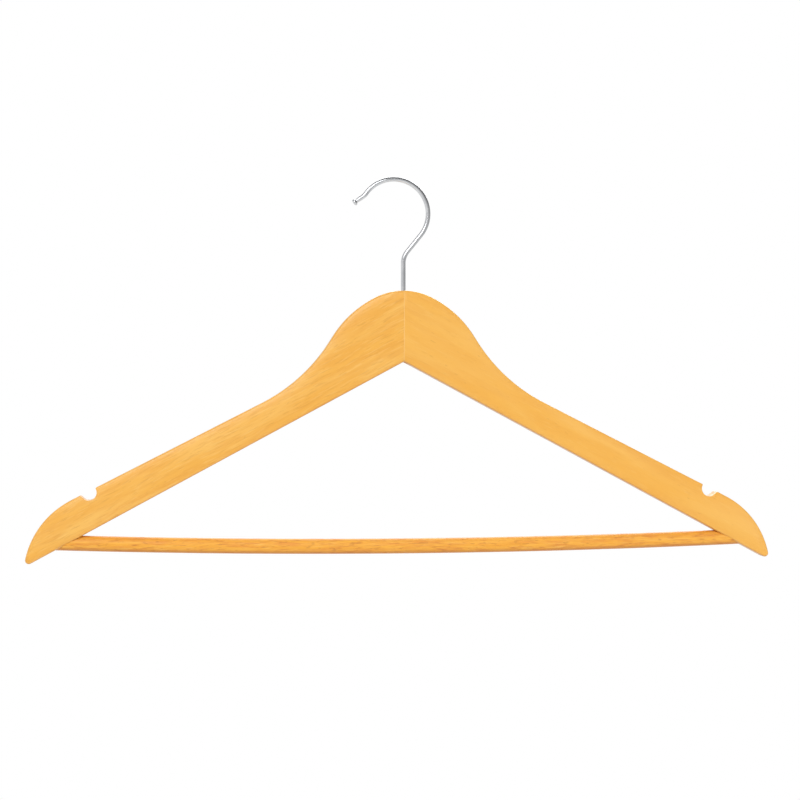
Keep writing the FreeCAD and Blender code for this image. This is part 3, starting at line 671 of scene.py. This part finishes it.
def bowHeight(x, shape):
    # level of the bar's middle line at x, from the frame's origin, in millimetres
    half = spanHalf - shape["barInset"]
    bow = (half ** 2 + shape["barBow"] ** 2) / (2 * shape["barBow"])
    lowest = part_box("trouser_bar")[0].z / mm + barRadius
    return lowest + bow - math.sqrt(bow ** 2 - x ** 2)


def makeArm(shape, name, side, tongues):
    reach = shape["combLength"] if tongues else 0
    raw = armMesh(shape, name + "_raw", reach)
    if side < 0:
        raw.data.transform(Matrix.Scale(-1, 4, (1, 0, 0)))
        raw.data.flip_normals()
    top = crownTop / mm
    layer = 2 * boardHalf / shape["combLayers"]
    below, above, behind = top - shape["cutBelow"], top + shape["cutAbove"], boardHalf + shape["cutProud"]
    cutters = []
    for n in range(shape["combLayers"]):
        low, high = -boardHalf + n * layer, -boardHalf + (n + 1) * layer
        low -= shape["cutSkin"] * (n == 0)
        high += shape["cutSkin"] * (n == shape["combLayers"] - 1)
        if tongues and n % 2 == 0:
            cutters.append(boxCutter((0, low, below), (shape["cutAcross"], high, above)))
        if not tongues and n % 2 == 1:
            cutters.append(boxCutter((-shape["combLength"], low, below), (shape["combLength"], high, above)))
    cutters.append(tubeCutter([(0, 0, below), (0, 0, above)], shape["boreRadius"]))
    seat = top - shape["headHeight"] + shape["seatDepth"]
    cutters.append(tubeCutter([(0, 0, below), (0, 0, seat)], shape["seatRadius"], segments=48))
    barEnd = spanHalf - shape["barInset"] + shape["barGap"]
    path = linePoints((side * shape["socketFrom"], 0), (side * barEnd, 0),
                      (barEnd - shape["socketFrom"]) / shape["socketSteps"])
    path = [(x, 0, bowHeight(x, shape)) for x, _ in path]
    cutters.append(tubeCutter(path, barRadius + shape["socketEase"], segments=48))
    bradX = side * (spanHalf - shape["bradInset"])
    level = bowHeight(bradX, shape)
    cutters.append(tubeCutter([(bradX, 0, level), (bradX, behind, level)], shape["bradRadius"],
                              segments=20))
    cutters.append(tubeCutter([(bradX, boardHalf - shape["bradHeadDepth"], level), (bradX, behind, level)],
                              shape["bradHeadRadius"], segments=24))
    for cutter in cutters:
        modifier = raw.modifiers.new("cut", "BOOLEAN")
        modifier.operation = "DIFFERENCE"
        modifier.solver = "EXACT"
        modifier.object = cutter
    arm = plainMesh(raw, name, sharpAngle=32)
    for item in cutters + [raw]:
        dropObject(item)
    return arm


rightArm = makeArm(armShape, "rightArm", 1, False)
rightArm.data.materials.append(quietWood)
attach(rightArm, "frame")
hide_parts("right_arm")
leftArm = makeArm(armShape, "leftArm", -1, True)
leftArm.data.materials.append(figuredWood)
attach(leftArm, "frame")
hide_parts("left_arm")
print("halves made")


# the trouser bar: a dowel sprung into the sockets

barSizes = {
    "Radius": barRadius * mm,
    "Half Length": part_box("trouser_bar")[1].x,
    "Bow": armShape["barBow"] * mm,
    "Lowest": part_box("trouser_bar")[0].z + barRadius * mm,
    "Tear Depth": 0.07 * mm,        # open grain that the turning tore
    "Tear Length": 5.0 * mm,
    "Tear Width": 0.9 * mm,
    "Tear From": 0.6,
    "Tear Full": 0.74,
    "Seed": 7.0,
    "Rings": 560,
    "Sides": 48,
    "Finish": dowelWood,
}


def makeBarTree():
    tree = makeTree("bowedDowel", barSizes)
    start = addNode(tree, "NodeGroupInput").outputs
    # the middle line is a resampled straight line, moved up by the bow's parabola
    left = doMath(tree, "MULTIPLY", start["Half Length"], -1.0)
    leftEnd = addNode(tree, "ShaderNodeCombineXYZ", X=left.outputs[0])
    rightEnd = addNode(tree, "ShaderNodeCombineXYZ", X=start["Half Length"])
    line = addNode(tree, "GeometryNodeCurvePrimitiveLine", Start=leftEnd.outputs[0], End=rightEnd.outputs[0])
    points = addNode(tree, "GeometryNodeResampleCurve", Curve=line.outputs[0], Count=start["Rings"])
    factor = addNode(tree, "GeometryNodeSplineParameter").outputs["Factor"]
    across = addNode(tree, "ShaderNodeMapRange", n0=factor, n3=-1.0, n4=1.0)
    square = doMath(tree, "POWER", across.outputs[0], 2.0)
    lift = doMath(tree, "MULTIPLY_ADD", square.outputs[0], start["Bow"], start["Lowest"])
    rise = addNode(tree, "ShaderNodeCombineXYZ", Z=lift.outputs[0])
    bowed = addNode(tree, "GeometryNodeSetPosition", Geometry=points.outputs[0], Offset=rise.outputs[0])
    profile = addNode(tree, "GeometryNodeCurvePrimitiveCircle", Resolution=start["Sides"],
                      Radius=start["Radius"])
    dowel = addNode(tree, "GeometryNodeCurveToMesh", n0=bowed.outputs[0], n1=profile.outputs[0], n3=True)
    # torn grain: a stretched noise, kept where it is strongest, pushes the surface in
    place = addNode(tree, "GeometryNodeInputPosition")
    along = doMath(tree, "DIVIDE", 1.0, start["Tear Length"])
    around = doMath(tree, "DIVIDE", 1.0, start["Tear Width"])
    scales = addNode(tree, "ShaderNodeCombineXYZ", X=along.outputs[0], Y=around.outputs[0],
                     Z=around.outputs[0])
    stretched = doVector(tree, "MULTIPLY", place.outputs[0], scales.outputs[0])
    tears = addNode(tree, "ShaderNodeTexNoise", {"noise_dimensions": "4D"}, Vector=stretched.outputs[0],
                    W=start["Seed"], Scale=1.0, Detail=2.0)
    depth = softStep(tree, tears.outputs[0], start["Tear From"], start["Tear Full"], 0.0,
                     start["Tear Depth"])
    inward = doMath(tree, "MULTIPLY", depth.outputs[0], -1.0)
    normal = addNode(tree, "GeometryNodeInputNormal")
    push = addNode(tree, "ShaderNodeVectorMath", {"operation": "SCALE"}, n0=normal.outputs[0],
                   Scale=inward.outputs[0])
    torn = addNode(tree, "GeometryNodeSetPosition", Geometry=dowel.outputs[0], Offset=push.outputs[0])
    return endTree(tree, start, torn.outputs[0])


barSource = newObject("barSource", bpy.data.meshes.new("barSource"))
growTree(barSource, makeBarTree(), barSizes)
trouserBar = plainMesh(barSource, "trouserBar", sharpAngle=40)
dropObject(barSource)
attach(trouserBar, "frame")
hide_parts("trouser_bar")
print("bar made")


# the wire hook, bent from one length, with a pressed button and a riveted end

hookShape = {                   # millimetres and degrees, counted from the top of the crown
    "wire": 2.8,
    "radius": 20.5,
    "offset": 5.5,
    "rise": 46.2,
    "kneeHeight": 16.5,
    "kneeRadius": 11.0,
    "mouthAngle": 163.0,
    "lipFlare": 3.4,
    "lipAngle": 35.0,
    "lipBend": 7.0,
    "stemEnd": -36.5,
    "stemStep": 4.0,            # how finely the middle line is drawn
    "bendStep": 0.6,
    "lipStep": 0.4,
}
hookSizes = {
    "Wire Radius": hookShape["wire"] / 2 * mm,
    "Sides": 40,
    "Knob Rings": 28,
    "Button Radius": 2.0 * mm,
    "Button Length": 3.0 * mm,      # from the flare's start to the end of the button
    "Button Overhang": 1.6 * mm,    # how much of it stands past the wire's end
    "Neck Length": 3.2 * mm,        # the wire is pinched before the button
    "Neck Share": 0.76,
    "Rivet Radius": 2.3 * mm,
    "Rivet Length": 1.3 * mm,
    "Rivet Overhang": 1.3 * mm,
    "Finish": chrome,
}


def wirePath(shape):
    # the wire's middle line: stem, knee, slanting shank, round part, reverse bend and lip
    knee, radius, bend = shape["kneeRadius"], shape["radius"], shape["lipBend"]
    centre = Vector((-shape["offset"], shape["rise"]))
    kneeCentre = Vector((knee, shape["kneeHeight"]))
    between = centre - kneeCentre
    heading = math.degrees(math.atan2(between.y, between.x))
    lean = heading - math.degrees(math.asin((knee + radius) / between.length))
    lip, mouth = math.radians(shape["lipAngle"]), math.radians(shape["mouthAngle"])
    lipEnd = centre + Vector((math.cos(mouth), math.sin(mouth))) * (radius + shape["lipFlare"])
    lipWay = Vector((-math.cos(lip), -math.sin(lip)))
    lipUp = Vector((-math.sin(lip), math.cos(lip)))
    level = lipEnd + lipUp * bend - centre
    back = level.dot(lipWay) - math.sqrt((radius + bend) ** 2 - level.dot(lipUp) ** 2)
    bendCentre = lipEnd + lipUp * bend - lipWay * back
    touch = math.degrees(math.atan2(bendCentre.y - centre.y, bendCentre.x - centre.x))
    stem = linePoints((0, shape["stemEnd"]), (0, shape["kneeHeight"]), shape["stemStep"])
    kneeArc = arcPoints(tuple(kneeCentre), knee, 180, lean + 90, shape["bendStep"])
    roundArc = arcPoints(tuple(centre), radius, lean - 90, touch, shape["bendStep"])
    bendArc = arcPoints(tuple(bendCentre), bend, touch - 180, shape["lipAngle"] - 90, shape["lipStep"])
    lipLine = linePoints(bendArc[-1], tuple(lipEnd), shape["lipStep"])
    points = stem + kneeArc[1:] + roundArc + bendArc[1:] + lipLine[1:]
    return [Vector((x * mm, 0, z * mm + crownTop)) for x, z in points]


def makeHookTree():
    tree = makeTree("bentWireHook", hookSizes)
    start = addNode(tree, "NodeGroupInput").outputs
    profile = addNode(tree, "GeometryNodeCurvePrimitiveCircle", Resolution=start["Sides"],
                      Radius=start["Wire Radius"])
    whole = addNode(tree, "GeometryNodeSplineLength")
    gone = addNode(tree, "GeometryNodeSplineParameter")
    remaining = doMath(tree, "SUBTRACT", whole.outputs["Length"], gone.outputs["Length"])
    pinch = softStep(tree, remaining.outputs[0], 0.0, start["Neck Length"], start["Neck Share"], 1.0)
    wire = addNode(tree, "GeometryNodeCurveToMesh", n0=start["Geometry"], n1=profile.outputs[0],
                   n2=pinch.outputs[0], n3=True)
    made = [wire.outputs[0]]
    tangent = addNode(tree, "GeometryNodeInputTangent")
    # a knob is a short turned shape on each end of the wire
    for label, atEnd, graph in (
            ("Rivet", False, ((0.0, 0.62), (0.04, 0.98), (0.12, 1.0), (0.6, 1.0), (0.86, 0.9), (1.0, 0.62))),
            ("Button", True, ((0.0, 0.5), (0.25, 0.52), (0.42, 0.62), (0.56, 0.92), (0.66, 1.0),
                              (0.86, 0.96), (0.96, 0.84), (1.0, 0.7)))):
        over = start[label + " Overhang"]
        under = doMath(tree, "SUBTRACT", over, start[label + " Length"])
        foot = addNode(tree, "ShaderNodeCombineXYZ", Z=under.outputs[0])
        top = addNode(tree, "ShaderNodeCombineXYZ", Z=over)
        knob = turnShape(tree, start, label, (foot.outputs[0], top.outputs[0]), start["Knob Rings"], graph)
        ends = addNode(tree, "GeometryNodeCurveEndpointSelection", Start_Size=int(not atEnd),
                       End_Size=int(atEnd))
        way = addNode(tree, "ShaderNodeVectorMath", {"operation": "SCALE"}, n0=tangent.outputs[0],
                      Scale=1.0 if atEnd else -1.0)
        turn = addNode(tree, "FunctionNodeAlignRotationToVector", {"axis": "Z"}, Vector=way.outputs[0])
        placed = addNode(tree, "GeometryNodeInstanceOnPoints", Points=start["Geometry"],
                         Selection=ends.outputs[0], Instance=knob.outputs[0], Rotation=turn.outputs[0])
        made.append(placed.outputs[0])
    joined = addNode(tree, "GeometryNodeJoinGeometry")
    for output in made:
        tree.links.new(output, joined.inputs[0])
    return endTree(tree, start, joined.outputs[0])


wireLine = bpy.data.curves.new("wireLine", "CURVE")
wireLine.dimensions = "3D"
spline = wireLine.splines.new("POLY")
wirePoints = wirePath(hookShape)
spline.points.add(len(wirePoints) - 1)
for spot, point in zip(spline.points, wirePoints):
    spot.co = (*point, 1)
hookSource = newObject("hookSource", wireLine)
growTree(hookSource, makeHookTree(), hookSizes)
wireHook = plainMesh(hookSource, "wireHook", sharpAngle=40)
dropObject(hookSource)
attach(wireHook, "hook")
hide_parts("hook")
print("hook made")


# the washer under the crown and the two brads

washerShape = {
    "outer": 2.9,
    "inner": 1.45,
    "thickness": 0.6,
    "ease": 0.18,               # rounding of the upper rims, and the lower ones' share of it
    "innerShare": 0.5,
    "outerShare": 0.4,
    "easeSteps": 4,
    "sides": 64,
    "sharpAngle": 50,
}
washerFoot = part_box("hook_washer")[0].z


def makeWasher(shape):
    # a stamped ring: rounded rims above, crisper below
    outer, inner, thick, ease = [shape[key] for key in ("outer", "inner", "thickness", "ease")]
    innerEase, outerEase = ease * shape["innerShare"], ease * shape["outerShare"]
    profile = [(inner, innerEase), (inner + innerEase, 0.0), (outer - outerEase, 0.0), (outer, outerEase)]
    turns = [math.pi / 2 * n / shape["easeSteps"] for n in range(shape["easeSteps"] + 1)]
    profile += [(outer - ease * (1 - math.cos(t)), thick - ease * (1 - math.sin(t))) for t in turns]
    profile += [(inner + ease * (1 - math.sin(t)), thick - ease * (1 - math.cos(t))) for t in turns]
    ring = bmesh.new()
    loops = []
    for k in range(shape["sides"]):
        turn = 2 * math.pi * k / shape["sides"]
        loops.append([ring.verts.new((r * math.cos(turn) * mm, r * math.sin(turn) * mm,
                                      washerFoot + h * mm)) for r, h in profile])
    for k in range(shape["sides"]):
        first, second = loops[k], loops[(k + 1) % shape["sides"]]
        for n in range(len(profile)):
            m = (n + 1) % len(profile)
            ring.faces.new((first[n], second[n], second[m], first[m]))
    bmesh.ops.recalc_face_normals(ring, faces=ring.faces)
    washer = meshObject("hookWasher", ring)
    washer.data.shade_smooth()
    washer.data.set_sharp_from_angle(angle=math.radians(shape["sharpAngle"]))
    return washer


hookWasher = makeWasher(washerShape)
hookWasher.data.materials.append(zinc)
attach(hookWasher, "frame")
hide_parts("hook_washer")

bradLow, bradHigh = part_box("bar_brad_right")
bradSizes = {
    "Reach": (bradLow.x + bradHigh.x) / 2,
    "Level": (bradLow.z + bradHigh.z) / 2,
    "Face": bradHigh.y,
    "Length": bradHigh.y - bradLow.y,
    "Head Radius": (bradHigh.x - bradLow.x) / 2,
    "Rings": 81,
    "Sides": 28,
    "Finish": zinc,
}


def makeBradTree():
    tree = makeTree("panelPins", bradSizes)
    start = addNode(tree, "NodeGroupInput").outputs
    # a pin is turned from its head down to its point
    down = doMath(tree, "MULTIPLY", start["Length"], -1.0)
    point = addNode(tree, "ShaderNodeCombineXYZ", Z=down.outputs[0])
    graph = ((0.0, 0.8), (0.0125, 0.97), (0.025, 1.0), (0.05, 1.0), (0.0625, 0.96), (0.075, 0.6),
             (0.1, 0.6), (0.85, 0.6), (1.0, 0.04))
    pin = turnShape(tree, start, "Head", ((0, 0, 0), point.outputs[0]), start["Rings"], graph)
    away = doMath(tree, "MULTIPLY", start["Reach"], -1.0)
    first = addNode(tree, "ShaderNodeCombineXYZ", X=away.outputs[0], Y=start["Face"], Z=start["Level"])
    twice = doMath(tree, "MULTIPLY", start["Reach"], 2.0)
    step = addNode(tree, "ShaderNodeCombineXYZ", X=twice.outputs[0])
    spots = addNode(tree, "GeometryNodeMeshLine", Count=2, Start_Location=first.outputs[0],
                    Offset=step.outputs[0])
    placed = addNode(tree, "GeometryNodeInstanceOnPoints", Points=spots.outputs[0],
                     Instance=pin.outputs[0])
    placed.inputs["Rotation"].default_value = (-math.pi / 2, 0, 0)
    return endTree(tree, start, placed.outputs[0])


bradSource = newObject("bradSource", bpy.data.meshes.new("bradSource"))
growTree(bradSource, makeBradTree(), bradSizes)
barBrads = plainMesh(bradSource, "barBrads", sharpAngle=40)
dropObject(bradSource)
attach(barBrads, "frame")
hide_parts("bar_brad_left", "bar_brad_right")
print("washer and brads made")


# floor, light and camera

studio = {
    "floorLevel": -0.62, "floorRadius": 0.9, "floorColour": "#EDEDEB", "floorWhite": 0.6,
    "fibreSize": 2.5 * mm, "fibreRelief": 0.05, "fibreDepth": 0.2 * mm,
    "ambientBelow": 0.08, "ambientAbove": 0.95,
    # what metal mirrors: white low on the left, darker towards a dim corner high on the right
    "dimCorner": (0.45, -0.1, 0.89),
    "room": ((0, 1.0), (0.3, 0.92), (0.5, 0.66), (0.66, 0.55), (0.74, 0.46), (0.9, 0.18), (1, 0.15)),
    "lampAim": (0, 0, -0.12),
    # name: place, width, height, watts, whether metal mirrors it
    "lamps": {"keySoftbox": ((-0.7, -1.62, 0.95), 1.3, 0.8, 14.2, True),
              "sideFill": ((1.15, -1.5, -0.1), 0.9, 0.9, 6.0, False),
              "backFill": ((0.3, 1.5, 0.9), 1.2, 1.0, 14.0, True)},
}


def makeFloor(name, studio):
    # white paper sweep: pale, and near white to the eye while it keeps the shadow
    material, tree = newMaterial("matt white paper floor")
    path = addNode(tree, "ShaderNodeLightPath").outputs
    seen = doMath(tree, "MAXIMUM", path["Is Camera Ray"], path["Is Glossy Ray"])
    seenToo = doMath(tree, "MAXIMUM", seen.outputs[0], path["Is Transmission Ray"])
    share = doMath(tree, "MULTIPLY", seenToo.outputs[0], studio["floorWhite"])
    coords = addNode(tree, "ShaderNodeTexCoord")
    fibre = addNode(tree, "ShaderNodeTexNoise", Vector=coords.outputs["Object"],
                    Scale=1 / studio["fibreSize"], Detail=3.0)
    bump = addNode(tree, "ShaderNodeBump", Strength=studio["fibreRelief"], Distance=studio["fibreDepth"],
                   Height=fibre.outputs[0])
    paper = addNode(tree, "ShaderNodeBsdfDiffuse", Color=toLinear(studio["floorColour"]),
                    Normal=bump.outputs[0])
    white = addNode(tree, "ShaderNodeEmission", Color=(1, 1, 1, 1), Strength=1.0)
    both = addNode(tree, "ShaderNodeMixShader", n0=share.outputs[0], n1=paper.outputs[0],
                   n2=white.outputs[0])
    addNode(tree, "ShaderNodeOutputMaterial", Surface=both.outputs[0])
    disc = bmesh.new()
    bmesh.ops.create_circle(disc, cap_ends=True, segments=96, radius=studio["floorRadius"])
    disc.transform(Matrix.Translation((0, 0, studio["floorLevel"])))
    floor = meshObject(name, disc)
    floor.data.materials.append(material)
    return floor


def makeWorld(studio):
    # a plain grey room for light, brighter above; the eye sees white, and metal mirrors a shaded room
    world = bpy.data.worlds.new("studioRoom")
    bpy.context.scene.world = world
    world.use_nodes = True
    tree = world.node_tree
    tree.nodes.clear()
    path = addNode(tree, "ShaderNodeLightPath").outputs
    seen = doMath(tree, "MAXIMUM", path["Is Camera Ray"], path["Is Transmission Ray"])
    way = addNode(tree, "ShaderNodeTexCoord")
    parts = addNode(tree, "ShaderNodeSeparateXYZ", Vector=way.outputs["Generated"])
    level = addNode(tree, "ShaderNodeMapRange", n0=parts.outputs["Z"], n1=-1.0, n2=1.0,
                    n3=studio["ambientBelow"], n4=studio["ambientAbove"])
    towards = doVector(tree, "DOT_PRODUCT", way.outputs["Generated"],
                       Vector(studio["dimCorner"]).normalized())
    share = addNode(tree, "ShaderNodeMapRange", n0=towards.outputs["Value"], n1=-1.0, n2=1.0)
    shade = addNode(tree, "ShaderNodeValToRGB", n0=share.outputs[0])
    setRamp(shade, studio["room"])
    room = addNode(tree, "ShaderNodeBackground", Color=(1, 1, 1, 1), Strength=level.outputs[0])
    mirrored = addNode(tree, "ShaderNodeBackground", Color=shade.outputs[0], Strength=1.0)
    white = addNode(tree, "ShaderNodeBackground", Color=(1, 1, 1, 1), Strength=1.0)
    metal = addNode(tree, "ShaderNodeMixShader", n0=path["Is Glossy Ray"], n1=room.outputs[0],
                    n2=mirrored.outputs[0])
    final = addNode(tree, "ShaderNodeMixShader", n0=seen.outputs[0], n1=metal.outputs[0],
                    n2=white.outputs[0])
    addNode(tree, "ShaderNodeOutputWorld", Surface=final.outputs[0])


makeFloor("paperFloor", studio)
makeWorld(studio)
for name, (place, width, height, watts, mirrored) in studio["lamps"].items():
    lamp = bpy.data.lights.new(name, "AREA")
    lamp.shape = "RECTANGLE"
    lamp.size = width
    lamp.size_y = height
    lamp.energy = watts
    item = newObject(name, lamp)
    item.location = place
    item.visible_glossy = mirrored
    item.rotation_euler = (Vector(studio["lampAim"]) - item.location).to_track_quat("-Z", "Y").to_euler()

cameraSizes = {
    "place": (-0.1145, -1.090, -0.1297),     # a little to the left, level with the shoulders
    "turn": -5.89,
    "roll": 0.08,
    "lens": 82.5,
}
camera = bpy.data.cameras.new("mainCamera")
camera.sensor_width = 36
camera.lens = cameraSizes["lens"]
cameraObject = newObject("mainCamera", camera)
cameraObject.location = cameraSizes["place"]
cameraObject.rotation_euler = (math.radians(90), math.radians(cameraSizes["roll"]),
                               math.radians(cameraSizes["turn"]))
bpy.context.scene.camera = cameraObject
bpy.context.scene.view_settings.view_transform = "Standard"
print("studio made")
